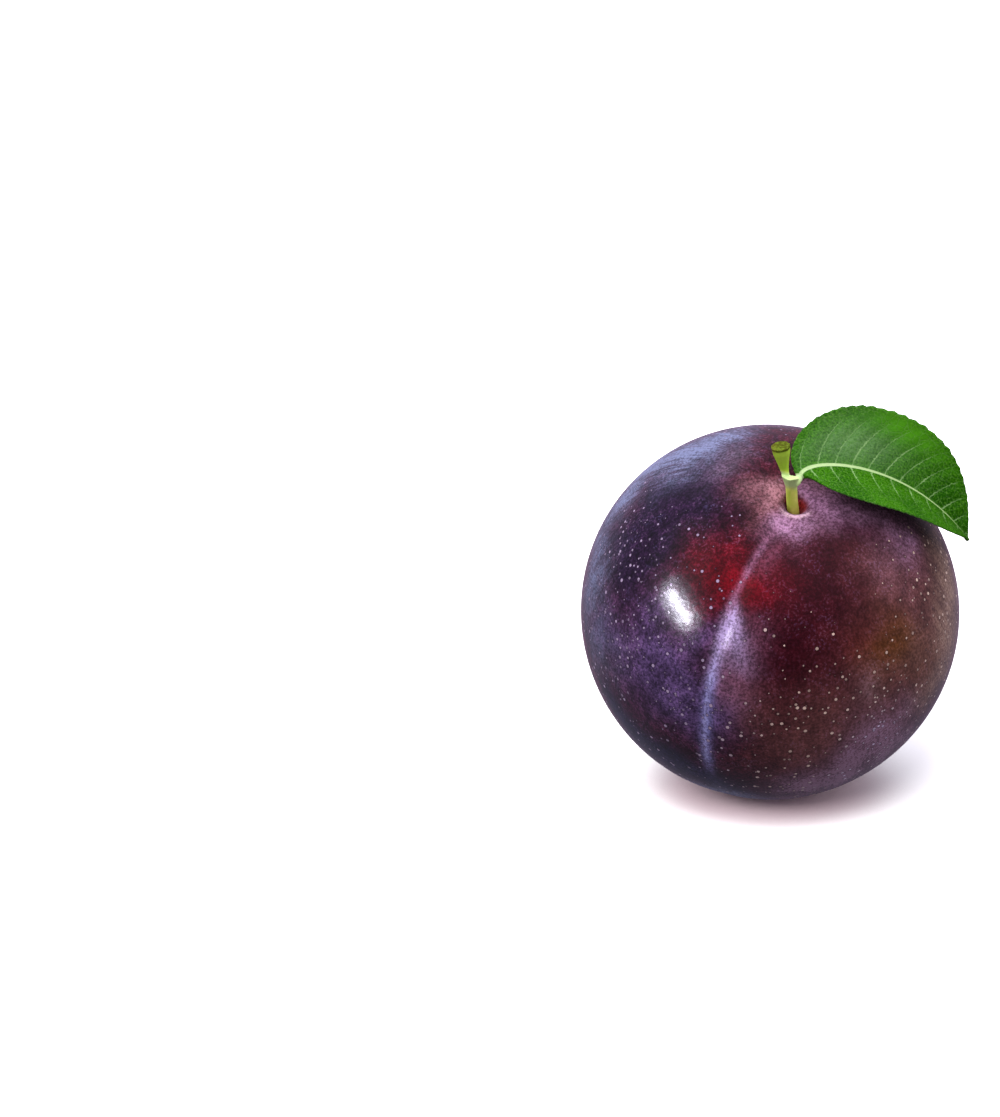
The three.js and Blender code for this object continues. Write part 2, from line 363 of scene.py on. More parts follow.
def skin_radius(polar, turn):
    round_form = 1 / np.hypot(np.sin(polar) / FRUIT_RADIUS, np.cos(polar) / POLE_RADIUS)
    wander = UNEVEN * np.sin(polar) ** 2 * (np.sin(3 * turn + 1) + np.cos(2 * turn - 2 * polar))
    across = FRUIT_RADIUS * np.sin(polar) * np.abs(turn)
    share = SUTURE_LEFT + (1 - SUTURE_LEFT) * np.exp(-((polar / SUTURE_FADE) ** 2))
    suture = smooth(np.sin(polar), *SUTURE_ENDS) * share * (dip(CREASE, across) + dip(VALLEY, across))
    pull = 1 + HOLLOW_PULL * np.maximum(0, np.cos(turn)) ** 3
    from_stalk = FRUIT_RADIUS * polar
    from_tip = FRUIT_RADIUS * (np.pi - polar)
    stalk_end = dip(HOLLOW, from_stalk / pull) + dip(PIT, from_stalk)
    ends = stalk_end + dip(TIP_DIP, from_tip) + dip(TIP_SCAR, from_tip)
    return round_form + wander - suture - ends


def skin_angles(points):
    """Polar angle and turn of directions from the fruit's middle."""
    own = unit(points) @ fruit_turn()
    polar = np.arccos(np.clip(own[:, 2], -1, 1))
    turn = np.arctan2(own[:, 1], own[:, 0]) - suture_spin(polar)
    return polar, (turn + np.pi) % (2 * np.pi) - np.pi


def skin_under(pixel):
    """The point of the skin that the picture shows at a pixel, from the fruit's middle."""
    level, axes = camera_axes()
    start = np.array(camera_place(level))
    focal = FOCAL_LENGTH / SENSOR * IMAGE_HEIGHT
    seen = Vector(((pixel[0] - IMAGE_WIDTH / 2) / focal, (IMAGE_HEIGHT / 2 - pixel[1]) / focal, -1))
    ray = unit(np.array(axes @ seen))
    nearest = -start.dot(ray)
    off_middle = start + nearest * ray
    radius = FRUIT_RADIUS
    for _ in range(6):
        point = off_middle - math.sqrt(max(radius**2 - off_middle.dot(off_middle), 0)) * ray
        radius = float(skin_radius(*skin_angles(point[None]))[0])
    return point


def skin_grid():
    """Polar angle and turn of each point of the skin, ring by ring from the blossom end to the stalk."""
    polar = np.pi * crowded(np.arange(SKIN_RINGS - 1, 0, -1) / SKIN_RINGS, POLE_CROWDING)
    share = crowded(np.arange(SKIN_COLUMNS) / SKIN_COLUMNS, SUTURE_CROWDING)
    turn = 2 * np.pi * np.where(share > 0.5, share - 1, share)
    polar, turn = (grid.ravel() for grid in np.meshgrid(polar, turn, indexing="ij"))
    return np.append(polar, [np.pi, 0]), np.append(turn, [0, 0])


def make_fruit():
    polar, turn = skin_grid()
    spin = turn + suture_spin(polar)
    direction = np.stack([np.sin(polar) * np.cos(spin), np.sin(polar) * np.sin(spin), np.cos(polar)], -1)
    points = (direction * (skin_radius(polar, turn) - SKIN_INSET)[:, None]) @ fruit_turn().T
    points[:, 2] = np.maximum(points[:, 2], -MIDDLE_HEIGHT)
    rings = SKIN_RINGS - 1
    faces = ring_faces(rings, SKIN_COLUMNS, rings * SKIN_COLUMNS, rings * SKIN_COLUMNS + 1)
    fruit = make_mesh("plum_fruit", points, faces)
    mark_skin(fruit, points, polar, turn)
    dress(fruit, "fruit", skin_material())


# Linear colours of the bare skin: the ground, and what it turns to round spots. A spot is the pixel of the
# picture that it lies under, its radius in millimetres and its strength.
GROUND = (0.028, 0.0015, 0.004)
PIGMENTS = {
    "wine": ((0.09, 0.028, 0.026), [
        ((900, 588), 7.8, 0.95), ((897, 688), 9, 1.0), ((838, 728), 8, 0.75), ((880, 650), 5, 0.3),
        ((800, 745), 6, 0.55), ((742, 712), 5.5, 0.75), ((768, 770), 5, 0.3), ((945, 640), 6, 0.8),
    ]),
    "russet": ((0.075, 0.022, 0.003), [
        ((900, 640), 4.5, 0.8), ((876, 662), 4, 0.35), ((932, 660), 5, 0.5),
    ]),
    "indigo": ((0.01, 0.003, 0.013), [
        ((652, 530), 9, 1.0), ((694, 490), 7, 0.9), ((628, 570), 6, 0.8),
    ]),
    # Violet skin; the spot under (704, 636) is a painted glow round the window's highlight
    "plum": ((0.06, 0.032, 0.085), [
        ((644, 656), 7.5, 0.7), ((672, 678), 6, 0.7), ((606, 630), 4.5, 0.5), ((694, 712), 5.5, 0.85),
        ((652, 606), 4, 0.4), ((722, 720), 4, 0.4), ((704, 636), 3, 0.6),
    ]),
    "navy": ((0.006, 0.004, 0.018), [
        ((636, 735), 5, 1.0), ((676, 762), 5, 1.0), ((720, 784), 5, 0.9), ((612, 702), 4, 0.8),
    ]),
    "crimson": ((0.13, 0.0005, 0.004), [
        ((738, 582), 3.2, 0.72), ((718, 580), 4.5, 0.42), ((730, 553), 4, 0.28), ((776, 592), 4, 0.16),
        ((702, 543), 3.0, 0.12), ((858, 646), 3.2, 0.16), ((775, 568), 3, 0.15),
    ]),
}
# Linear colours of the wax bloom, and the spots where it lies. Some of them also paint reflections: a sheen
# on the upper left, soft reflections on the upper right and a rim of light along the edges.
BLOOMS = {
    # Bluish bloom, with a painted reflection of the overhead light on the upper left and painted rim
    # reflections along the left and lower edges
    "steel_bloom_and_sheen": ((0.125, 0.138, 0.225), [
        ((650, 468), 5.5, 0.8), ((694, 451), 4.6, 0.85), ((724, 436), 4.5, 0.55), ((624, 498), 3.5, 0.7),
        ((672, 478), 3.5, 0.25), ((592, 590), 5, 0.42), ((598, 560), 4.5, 0.35), ((596, 645), 5, 0.3),
        ((606, 520), 4.5, 0.4), ((742, 797), 4, 0.9), ((700, 790), 4, 0.5),
    ]),
    # Mauve bloom, with painted rim reflections along the lower right edge and a painted soft reflection on
    # the upper right
    "mauve_bloom_and_rim_sheen": ((0.23, 0.12, 0.175), [
        ((850, 768), 5, 0.8), ((822, 784), 5, 0.9), ((880, 735), 4.5, 0.65), ((796, 788), 4, 0.45),
        ((905, 708), 3.5, 0.35), ((870, 690), 3, 0.2), ((890, 748), 3.5, 0.9), ((872, 722), 4, 0.25),
        ((893, 568), 4.5, 0.13),
    ]),
    # Painted rim reflection, pale brown, mostly along the right edge
    "right_rim_sheen": ((0.24, 0.15, 0.1), [
        ((949, 625), 5.5, 0.5), ((950, 580), 5.5, 0.45), ((944, 672), 5, 0.35), ((932, 535), 4.5, 0.3),
        ((925, 700), 3.5, 0.2), ((922, 642), 4.5, 0.1), ((872, 690), 3, 0.14),
    ]),
    "ash": ((0.24, 0.17, 0.24), [
        ((738, 452), 3.0, 0.12), ((722, 470), 3.5, 0.13),
    ]),
    "violet": ((0.42, 0.2, 0.42), [
        ((814, 495), 2.2, 0.5), ((830, 500), 3, 0.25),
    ]),
    # Rose bloom round the pit, with a painted soft reflection on the upper right shoulder
    "rose_bloom_and_sheen": ((0.36, 0.18, 0.29), [
        ((781, 524), 1.8, 0.68), ((806, 523), 2.6, 0.45), ((828, 512), 3, 0.45), ((852, 512), 2.6, 0.28),
        ((878, 514), 3.5, 0.3), ((906, 537), 3.5, 0.45),
    ]),
    "pink": ((0.37, 0.16, 0.18), [
        ((775, 492), 2.6, 0.66), ((766, 508), 2.2, 0.38), ((750, 492), 2.4, 0.2), ((815, 490), 3, 0.4),
    ]),
}
# Clouds of the same colours where the picture doesn't show the skin: size in millimetres, which part of them
# shows, and how thickly. Each further bloom lies thinner.
UNSEEN_PIGMENT = (9.0, (0.35, 0.9), 0.7)
UNSEEN_BLOOM = (8.0, (0.4, 0.95), 0.5)
SEEN_EDGE = (-0.1, 0.3)  # how far skin has to face the camera to be in the picture
RIGHT_SIDE = (-0.1, 0.5)  # sine of the turn past the suture
PIT_RED = (0.2, 0.015, 0.012)  # round the foot of the stalk
PIT_EDGE = (1.6, 2.4)
PIT_SHADE = [((803, 502), 1.1, 0.8)]
# Painted highlight along the pit's near lip, on the front side only
PIT_LIP_HIGHLIGHT = (0.6, 0.38, 0.42)
LIP = (2.75, 0.4)  # distance from the pit's middle, and half width
LIP_HIGHLIGHT_BACK = (-18.0, -16.5)  # the lip shows in front of this
# Strokes of bloom along the suture: middle and half width across it in millimetres, then where they begin,
# where they end and how softly, in degrees from the stalk's pole
SUTURE_STROKES = {
    "line": (-0.25, 0.6, 14, 44, 4),
    "beside": (1.6, 1.6, 15, 27, 5),
    "halo": (3.6, 3.2, 43, 70, 8),
    "upper": (0.25, 0.95, 43, 64, 5),
    "lower": (0.25, 0.95, 60, 97, 8),
    "ridge": (0.1, 0.4, 57, 94, 6),
}
FORK_START = 40  # degrees from the pole, where the line forks
FORK_DRIFT = (0.4, 0.2)  # how far right the fan lies there, and how much more each degree
FAN_WIDTH = (1.1, 0.09)
FAN_ENDS = (41, 54, 7)
WEB_ENDS = (42, 51, 4)
SUTURE_ROSE = (0.36, 0.15, 0.25)
SUTURE_LILAC = (0.4, 0.29, 0.5)
SUTURE_BLUE = (0.22, 0.21, 0.46)
SUTURE_WHITE = (0.4, 0.37, 0.62)
# Spots with few dots, with many dots, with lilac dots, and where the bloom is rubbed into fine streaks
BARE = [
    ((700, 470), 9, 1.0), ((800, 480), 11, 1.0), ((850, 580), 7, 0.9), ((745, 670), 4, 0.5),
    ((790, 560), 6, 0.7),
]
DENSE = [
    ((622, 560), 8, 1.3), ((640, 640), 8, 1.2), ((690, 700), 7, 0.9), ((885, 735), 7, 1.2),
    ((880, 680), 6, 0.9),
]
LILAC_DOTS = [((885, 735), 6, 1.0), ((835, 780), 5, 0.8)]
STREAKS_START = (12, 45)  # degrees from the stalk's pole
STREAKED = [((660, 470), 9, 1.0), ((700, 450), 8, 0.8), ((610, 560), 6, 0.6), ((930, 600), 6, 0.5)]
DOT_LEFT, DOT_RIGHT, DOT_LILAC = (0.3, 0.22, 0.31), (0.55, 0.38, 0.3), (0.6, 0.47, 0.68)
DOT_RING = (0.008, 0.002, 0.006)
DOT_SCALES = (800.0, 870.0)  # cells to the metre, of the dots all over and of those where they are dense
DOT_SIZES = (0.12, 0.26)  # shares of a cell
DOT_SOFTNESS = 0.08
DOT_RING_WIDTH = 0.1
DOT_STRENGTHS = (0.4, 1.0)
DOT_RING_STRENGTH = 0.45
DOT_RELIEF = 0.6
FILM_COLOURS = ((0.2, 0.19, 0.42), (0.4, 0.21, 0.34))
FILM_COVER = 0.11
# Noises of the skin: cells to the metre, octaves and how rough they are
GRAIN = (2600.0, 2.0, 0.65)
FINE = (1300.0, 3.0, 0.65)
CLUMPS = (560.0, 2.0, 0.5)
CLOUDY = (260.0, 3.0, 0.6)
# Stretch of the streaks: round the fruit and along its meridians
BROAD_STREAKS = (20.0, 20.0, 1.6)
NARROW_STREAKS = (75.0, 75.0, 5.0)
SKIN_ROUGHNESS = (0.26, 0.36)
SKIN_BUMP = (0.4, 0.00008)  # strength, and height in metres
COAT_BUMP = (0.35, 0.0001)
SKIN_GLOSS = {
    "Specular_IOR_Level": 0.0, "Coat_Weight": 0.016, "Coat_IOR": 2.6, "Coat_Roughness": 0.18,
    "Sheen_Weight": 0.18, "Sheen_Roughness": 0.4, "Sheen_Tint": (0.85, 0.78, 1.0),
}
WOBBLES = (0.9, 0.45)  # slow and quick, in millimetres


def wobble(points):
    """Moves points a little, so that round spots turn uneven."""
    x, y, z = points.T
    slow = [np.sin(0.42 * y + 0.3 * z), np.sin(0.38 * z + 0.35 * x + 2), np.sin(0.4 * x - 0.33 * y + 4)]
    quick = [np.sin(0.9 * z - 0.5 * x + 1), np.sin(x + 0.4 * y), np.sin(0.95 * y + 0.6 * z + 3)]
    return points + WOBBLES[0] * np.stack(slow, -1) + WOBBLES[1] * np.stack(quick, -1)


def patches(wobbled, spots):
    total = np.zeros(len(wobbled))
    for pixel, radius, strength in spots:
        away = np.linalg.norm(wobbled - wobble(skin_under(pixel)[None]), axis=1)
        total += strength * bell(away, 0, radius)
    return np.clip(total, 0, 1)


def clouds(points, size, phase):
    """Soft patches about as big as size, from 0 to 1."""
    x, y, z = points.T / size
    waves = np.sin(x + phase + 1.7 * np.sin(0.8 * y + 2 * phase))
    waves += np.sin(1.1 * y + 2 * phase + 1.4 * np.sin(0.9 * z))
    waves += np.sin(0.95 * z + 3 * phase + 1.2 * np.sin(1.2 * x + 1))
    return 0.5 + waves / 6


def suture_bloom(polar, turn):
    """Colours along the suture, each with how thickly: a line that forks into a fan, and a long band."""
    across = FRUIT_RADIUS * np.sin(polar) * turn
    degrees = polar / DEG
    stroke = {}
    for name, (middle, half_width, *ends) in SUTURE_STROKES.items():
        stroke[name] = bell(across, middle, half_width) * between(degrees, *ends)
    broken = 0.75 + 0.15 * np.sin(0.9 * degrees + 1) + 0.1 * np.sin(2.3 * degrees)
    past = degrees - FORK_START
    fork = FORK_DRIFT[0] + FORK_DRIFT[1] * past
    fan = bell(across, fork, FAN_WIDTH[0] + FAN_WIDTH[1] * past) * between(degrees, *FAN_ENDS)
    web = bell(across, fork / 2, 0.3 + fork / 2) * between(degrees, *WEB_ENDS)
    return [
        (SUTURE_ROSE, 0.44 * broken * stroke["line"] + 0.1 * stroke["beside"] + 0.25 * stroke["halo"]),
        (SUTURE_LILAC, 0.62 * np.maximum(fan, 0.8 * web) + 0.55 * stroke["upper"]),
        (SUTURE_BLUE, 0.55 * stroke["lower"]),
        (SUTURE_WHITE, 0.4 * broken * stroke["ridge"]),
    ]


def lay(under, cover, colour, amount):
    """Lays a colour over what is there. under is already weighted by its own cover."""
    amount = np.clip(amount, 0, 1)[:, None]
    return under * (1 - amount) + np.array(colour) * amount, cover * (1 - amount) + amount


def pigment_on(points, wobbled, behind, pit):
    colour, cover = np.tile(GROUND, (len(points), 1)), np.ones((len(points), 1))
    size, shown, thick = UNSEEN_PIGMENT
    for number, (pigment, spots) in enumerate(PIGMENTS.values()):
        unseen = behind * smooth(clouds(points, size, number), *shown) * thick
        colour, cover = lay(colour, cover, pigment, patches(wobbled, spots) + unseen)
    return lay(colour, cover, PIT_RED, 0.9 * pit)[0]


def bloom_and_sheen_on(points, polar, turn, wobbled, behind):
    """Colour of the bloom with its painted reflections and painted lip highlight, and how thickly it covers.
    """
    colour, cover = np.zeros((len(points), 3)), np.zeros((len(points), 1))
    size, shown, thick = UNSEEN_BLOOM
    for number, (bloom, spots) in enumerate(BLOOMS.values()):
        unseen = behind * smooth(clouds(points, size, number + 7), *shown) * thick / (1 + number)
        colour, cover = lay(colour, cover, bloom, patches(wobbled, spots) + unseen)
    for bloom, amount in suture_bloom(polar, turn):
        colour, cover = lay(colour, cover, bloom, amount)
    # Painted highlight along the near lip of the pit
    lip = bell(FRUIT_RADIUS * polar, *LIP) * (1 - smooth(points[:, 1], *LIP_HIGHLIGHT_BACK))
    colour, cover = lay(colour, cover, PIT_LIP_HIGHLIGHT, 0.65 * lip)
    return colour / np.maximum(cover, 1e-6), cover[:, 0]


def mark_skin(fruit, points, polar, turn):
    """Keeps the colours and amounts that the skin's material reads."""
    level, _ = camera_axes()
    behind = 1 - smooth(unit(points) @ np.array(level.col[2]), *SEEN_EDGE)
    wobbled = wobble(points)
    pit = np.maximum(1 - smooth(FRUIT_RADIUS * polar, *PIT_EDGE), patches(points, PIT_SHADE))
    red = patches(wobbled, PIGMENTS["crimson"][1])
    right_side = smooth(np.sin(turn), *RIGHT_SIDE)
    bloom, cover = bloom_and_sheen_on(points, polar, turn, wobbled, behind)
    dots = between_colours(DOT_LEFT, DOT_RIGHT, right_side)
    marks = {
        "pigment": pigment_on(points, wobbled, behind, pit),
        "filmed": 1 - 0.8 * red,
        # The bloom's colour, with the painted reflections and the lip's painted highlight in it
        "bloom": bloom,
        "bloom_cover": cover * (1 - pit),
        "meridian": np.stack([np.cos(turn), np.sin(turn), polar], -1),
        "dotted": 1 - patches(wobbled, BARE),
        "dense": patches(wobbled, DENSE),
        "streaked": smooth(polar / DEG, *STREAKS_START) * (0.35 + 0.65 * patches(wobbled, STREAKED)),
        "clumped": (1 - 0.75 * right_side) * (1 - 0.6 * red),
        "dot_colour": between_colours(dots, DOT_LILAC, patches(wobbled, LILAC_DOTS)),
    }
    for name, values in marks.items():
        set_values(fruit, name, values)


def with_lenticels(s, colour, scale, plenty):
    """Lays pale dots in thin dark rings over a colour. plenty is how large and close they are."""
    cells = s.node("ShaderNodeTexVoronoi", {"feature": "F1"}, Vector=s.place(), Scale=scale)
    lucky = s.node("ShaderNodeSeparateColor", Color=cells.outputs["Color"])
    size = s.times(plenty, s.span(lucky.outputs["Green"], 0.0, 1.0, *DOT_SIZES))
    inside = s.math("SUBTRACT", size, cells.outputs["Distance"])
    dots = s.span(inside, 0.0, DOT_SOFTNESS)
    ring = s.times(s.span(inside, -DOT_RING_WIDTH, 0.0), plenty)
    strength = s.span(lucky.outputs["Blue"], 0.0, 1.0, *DOT_STRENGTHS)
    colour = s.mix(s.times(ring, DOT_RING_STRENGTH), colour, DOT_RING)
    return s.mix(s.times(dots, strength), colour, s.stored("dot_colour", "Color")), dots


def rubbed_streaks(s):
    """Streaks along the meridians, from -1 to 1."""
    meridian = s.stored("meridian", "Vector")
    broad = s.node("ShaderNodeMapping", Vector=meridian, Scale=BROAD_STREAKS).outputs[0]
    narrow = s.node("ShaderNodeMapping", Vector=meridian, Scale=NARROW_STREAKS).outputs[0]
    broad_streaks = s.times(s.noise(broad, 1.0, 3.0, 0.6), 0.4)
    fine_streaks = s.times(s.noise(narrow, 1.0, 2.0, 0.6), 0.6)
    both = s.plus(broad_streaks, fine_streaks)
    return s.times(s.span(both, 0.36, 0.64, -1.0, 1.0), s.stored("streaked"))


def mottled_pigment(s, grain, fine, clumps, cloudy, streaks):
    clumped = s.stored("clumped")
    grit = s.span(s.plus(s.times(fine, 0.4), s.times(grain, 0.6)), 0.35, 0.65, -1.0, 1.0)
    mottle = s.plus(s.times(grit, s.plus(s.times(clumped, 0.3), 0.25)), 1.0)
    mottle = s.times(mottle, s.plus(s.times(s.span(clumps, *NOISE_BAND, -0.4, 0.4), clumped), 1.0))
    mottle = s.times(mottle, s.span(cloudy, *NOISE_BAND, 0.75, 1.25), s.plus(s.times(streaks, 0.3), 1.0))
    return s.scaled(s.stored("pigment", "Color"), mottle)


def skin_material():
    s = Shader("plum_skin")
    place = s.place()
    grain, fine, clumps, cloudy = (s.noise(place, *noise) for noise in (GRAIN, FINE, CLUMPS, CLOUDY))
    streaks = rubbed_streaks(s)
    colour = mottled_pigment(s, grain, fine, clumps, cloudy, streaks)

    # Wax bloom, with its painted reflections and painted lip highlight, broken up by grain and rubbed in
    # streaks
    speck = s.span(s.plus(s.times(grain, 0.7), s.times(fine, 0.3)), 0.36, 0.64, 0.5, 1.5)
    rubbed = s.times(s.plus(s.times(streaks, 0.6), 1.0), s.span(cloudy, *NOISE_BAND, 0.7, 1.3))
    cover = s.times(s.stored("bloom_cover"), speck, rubbed)
    colour = s.mix(cover, colour, s.stored("bloom", "Color"))
    film = s.times(s.span(grain, 0.53, 0.68, 0.0, FILM_COVER), s.span(cloudy, 0.4, 0.7, 0.1, 1.0))
    film = s.times(film, s.stored("filmed"))
    colour = s.mix(film, colour, s.mix(s.span(clumps, 0.4, 0.6), *FILM_COLOURS))

    relief = s.plus(s.times(grain, 0.5), s.times(fine, 0.5))
    for scale, plenty in zip(DOT_SCALES, ("dotted", "dense")):
        colour, dots = with_lenticels(s, colour, scale, s.stored(plenty))
        relief = s.plus(relief, s.times(dots, DOT_RELIEF))
    roughness = s.plus(s.times(cover, 0.25), s.span(fine, *NOISE_BAND, *SKIN_ROUGHNESS))
    normal = s.bump(relief, *SKIN_BUMP)
    waxy = s.bump(s.plus(clumps, s.times(relief, 0.25)), *COAT_BUMP)
    return s.finish(
        Base_Color=colour, Roughness=roughness, Normal=normal, Coat_Normal=waxy, **SKIN_GLOSS
    )


# ---- Lines and bars ----


def smooth_line(points, count):
    """Evenly spaced points of a centripetal Catmull-Rom curve through points."""
    p = np.array(points, float)
    p = np.vstack([2 * p[0] - p[1], p, 2 * p[-1] - p[-2]])
    knots = np.append(0, np.cumsum(np.linalg.norm(np.diff(p, axis=0), axis=1) ** 0.5))
    dense = []
    for i in range(1, len(p) - 2):
        t = np.linspace(knots[i], knots[i + 1], 60)[:, None]

        def blend(a, b, i, j):
            return ((knots[j] - t) * a + (t - knots[i]) * b) / (knots[j] - knots[i])

        a1 = blend(p[i - 1], p[i], i - 1, i)
        a2 = blend(p[i], p[i + 1], i, i + 1)
        a3 = blend(p[i + 1], p[i + 2], i + 1, i + 2)
        dense.append(blend(blend(a1, a2, i - 1, i + 1), blend(a2, a3, i, i + 2), i, i + 1))
    dense = np.vstack(dense)
    return evenly(dense, np.linspace(0, 1, count))


def evenly(dense, shares):
    """Points at shares of the length of a densely drawn line."""
    length = np.append(0, np.cumsum(np.linalg.norm(np.diff(dense, axis=0), axis=1)))
    return np.stack([np.interp(shares * length[-1], length, dense[:, k]) for k in range(3)], -1)


def make_bar(line, radii, rings, ridges):
    """Rings of points round a line, with shallow ridges along it, and the line's direction at each."""
    centres = smooth_line(line, rings)
    along = unit(np.gradient(centres, axis=0))
    side = unit(np.cross(along[0], (1, 0.3, 0)))
    place = np.linspace(0, len(radii) - 1, rings)
    radius = np.interp(place, np.arange(len(radii)), radii)
    angle = 2 * np.pi * np.arange(STALK_SIDES)[:, None] / STALK_SIDES
    points = []
    for centre, direction, size in zip(centres, along, radius):
        side = unit(side - side.dot(direction) * direction)
        other = np.cross(direction, side)
        reach = size * (1 + ridges * np.cos(STALK_RIDGES * angle))
        points.append(centre + reach * (np.cos(angle) * side + np.sin(angle) * other))
    return np.array(points), along


def closed_rings(name, rings, bulge=0.0):
    """A mesh of rings of points, closed at both ends. bulge is how far the far end stands out."""
    flat = rings.reshape(-1, 3)
    outward = unit(rings[-1].mean(0) - rings[-2].mean(0))
    ends = [rings[0].mean(0), rings[-1].mean(0) + bulge * outward]
    faces = ring_faces(len(rings), rings.shape[1], len(flat), len(flat) + 1)
    return make_mesh(name, np.vstack([flat, ends]), faces)


def cut_by(points, along, on_plane, normal):
    """Slides points that lie past a plane back onto it, along the bar that they belong to."""
    past = (points - on_plane) @ unit(normal)
    step = np.maximum(past, 0) / (along @ unit(normal))[:, None]
    return points - step[..., None] * along[:, None, :]


# ---- Stalk ----

# Linear colours
BARK_GREENS = ((0.6, 0.66, 0.1), (0.74, 0.74, 0.16))
BARK_FLECKS = (0.25, 0.3, 0.03)
# Painted shade down the lower stalk's middle
SHADE_STRIPE_GREEN = (0.24, 0.4, 0.02)
STUB_GREEN = (0.27, 0.45, 0.025)
COLLAR_GREEN = (0.47, 0.62, 0.26)
CUT_BROWN = (0.026, 0.024, 0.001)
CUT_RIM = (0.2, 0.15, 0.02)
# Where the stalk's colours change, in millimetres above the collar's face and past the stub's end
COLLAR_BELOW = (-2.4, -1.2)
COLLAR_ABOVE = (0.2, 0.8)
STUB_START = (0.3, 1.0)
CUT_START = (-0.55, -0.25)
CUT_LIP = (-0.45, 0.4)  # middle and half width
LIP_SIDE = (-1.6, 0.0)  # it shows on the left
SHADE_STRIPE_START = (2.0, 2.6)  # below the collar's face
STALK_ROUGHNESS = (0.5, 0.65)
STALK_BUMP = (0.3, 0.0001)
# Rings of each bar, and how deep its ridges are as a share of its radius
LOWER_BAR = (90, 0.03)
STUB_BAR = (60, 0.02)
SPUR_BAR = (20, 0.0)
STUB_HOLLOW = 0.12
SMOOTHING_ROUNDS = 4


def grown_together(name, parts, voxel, rounds):
    """Merges overlapping closed meshes into one smooth body."""
    first = parts[0]
    with bpy.context.temp_override(active_object=first, selected_editable_objects=parts):
        bpy.ops.object.join()
    remesh = first.modifiers.new("merge", "REMESH")
    remesh.mode = "VOXEL"
    remesh.voxel_size = voxel * MM
    soften = first.modifiers.new("soften", "SMOOTH")
    soften.factor = 0.5
    soften.iterations = rounds
    merged = bpy.data.meshes.new_from_object(first.evaluated_get(bpy.context.evaluated_depsgraph_get()))
    bpy.data.objects.remove(first)
    merged.name = name
    merged.polygons.foreach_set("use_smooth", [True] * len(merged.polygons))
    return add_object(name, merged)


def make_stalk():
    line = [tuple(on_axis(PIT_FLOOR - ROOT_SUNK)), tuple(on_axis(PIT_FLOOR)), *STALK_LINE]
    lower, along = make_bar(line, STALK_RADII, *LOWER_BAR)
    lower = cut_by(lower, along, COLLAR_TOP, COLLAR_FACE)
    stub, _ = make_bar(STUB_LINE, STUB_RADII, *STUB_BAR)
    spur, _ = make_bar(SPUR_LINE, SPUR_RADII, *SPUR_BAR)
    parts = [
        closed_rings("lower", lower),
        closed_rings("stub", stub, -STUB_HOLLOW),
        closed_rings("spur", spur),
    ]
    stalk = grown_together("plum_stalk", parts, STALK_VOXEL, SMOOTHING_ROUNDS)
    mark_stalk(stalk)
    dress(stalk, "stalk", stalk_material())


def mark_stalk(stalk):
    points = points_of(stalk)
    above = (points - COLLAR_TOP) @ unit(COLLAR_FACE)
    stub_end = np.array(STUB_LINE[-1])
    to_end = (points - stub_end) @ unit(stub_end - STUB_LINE[-2])
    marks = {
        "collar": smooth(above, *COLLAR_BELOW) * (1 - smooth(above, *COLLAR_ABOVE)),
        "stub": smooth(above, *STUB_START),
        "cut": smooth(to_end, *CUT_START),
        "groove": bell(points[:, 0], *SHADE_STRIPE) * smooth(-above, *SHADE_STRIPE_START),
        "lip": bell(to_end, *CUT_LIP) * smooth(-points[:, 0], *LIP_SIDE),
    }
    for name, values in marks.items():
        set_values(stalk, name, values)


def stalk_material():
    s = Shader("plum_stalk")
    place = s.place()
    patchy = s.noise(place, 500.0, 3.0)
    fine = s.noise(place, 2600.0, 2.0)
    colour = s.mix(s.span(patchy, 0.35, 0.65), *BARK_GREENS)
    # Painted shade: a darker stripe between the stalk's lit edges
    colour = s.mix(s.times(s.stored("groove"), 0.5), colour, SHADE_STRIPE_GREEN)
    colour = s.mix(s.times(s.stored("stub"), 0.85), colour, STUB_GREEN)
    colour = s.mix(s.times(s.stored("collar"), 0.9), colour, COLLAR_GREEN)
    colour = s.mix(s.times(s.stored("cut"), s.span(fine, *NOISE_BAND, 0.75, 1.0)), colour, CUT_BROWN)
    colour = s.mix(s.times(s.stored("lip"), 0.6), colour, CUT_RIM)
    colour = s.mix(s.span(fine, 0.55, 0.8, 0.0, 0.3), colour, BARK_FLECKS)
    return s.finish(
        Base_Color=colour,
        Roughness=s.span(fine, *NOISE_BAND, *STALK_ROUGHNESS),
        **GREEN_GLOSS,
        Normal=s.bump(s.plus(patchy, fine), *STALK_BUMP),
    )


# ---- Leaf ----

# Linear colours
BLADE_GREENS = ((0.012, 0.075, 0.0005), (0.026, 0.12, 0.001))
MESH_DARK = (0.005, 0.035, 0.0005)
MESH_LIGHT = (0.07, 0.18, 0.015)
PAINTED_SHEEN_GREEN = (0.13, 0.24, 0.085)
LUSH_GREEN = (0.05, 0.21, 0.004)
UNDER_GREEN = (0.08, 0.17, 0.04)
NET_GREEN = (0.1, 0.2, 0.05)
VEIN_GREEN = (0.2, 0.33, 0.115)
RIB_GREENS = ((0.42, 0.54, 0.25), (0.28, 0.42, 0.14))
# Soft patches on the back half's upper side, the first a painted sheen: middle and size out to the margin,
# then along the midrib
PAINTED_SHEEN_PATCH = ((0.4, 0.4), (0.28, 0.22))
LUSH_PATCH = ((0.8, 0.22), (0.5, 0.17))
